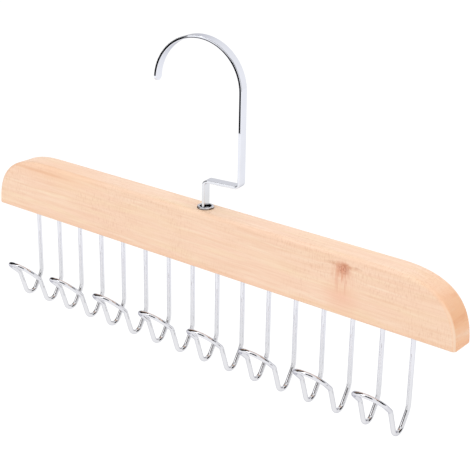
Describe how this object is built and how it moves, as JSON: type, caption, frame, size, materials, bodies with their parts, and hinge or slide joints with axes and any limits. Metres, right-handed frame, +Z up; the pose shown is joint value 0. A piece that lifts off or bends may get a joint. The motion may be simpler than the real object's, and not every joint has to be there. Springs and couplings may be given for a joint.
{
  "type": "tie hanger",
  "caption": "Wooden bar that turns below a flat metal hook, with a row of bent wire hooks along its underside for ties, scarves and belts.",
  "frame": {"origin": "centre of the hook's bow, on the axis of the wardrobe rail that it hangs on", "axes": "+Z up; X along the wooden bar; -Y is the front, which the wire hooks face; the hook is turned 7.5 degrees about Z from the bar at rest"},
  "size_m": [0.36, 0.043, 0.2042],
  "materials": {
    "wood": "clear satin varnish on pale beech",
    "chrome": "bright chrome plate",
    "inner_steel": "zinc plated steel"
  },
  "bodies": {
    "hook": {"hook": "chrome"},
    "rack": {"bar": "wood", "ferrule": "chrome", "washer": "inner_steel", "wire_hook_1": "chrome", "wire_hook_2": "chrome", "wire_hook_3": "chrome", "wire_hook_4": "chrome", "wire_hook_5": "chrome", "wire_hook_6": "chrome", "wire_hook_7": "chrome", "wire_hook_8": "chrome"}
  },
  "joints": [
    {"name": "hook_swivel", "type": "hinge", "parent": "hook", "child": "rack", "pos_m": [0.00486, 0.00064, -0.0755], "axis": [0, 0, 1], "continuous": true}
  ]
}
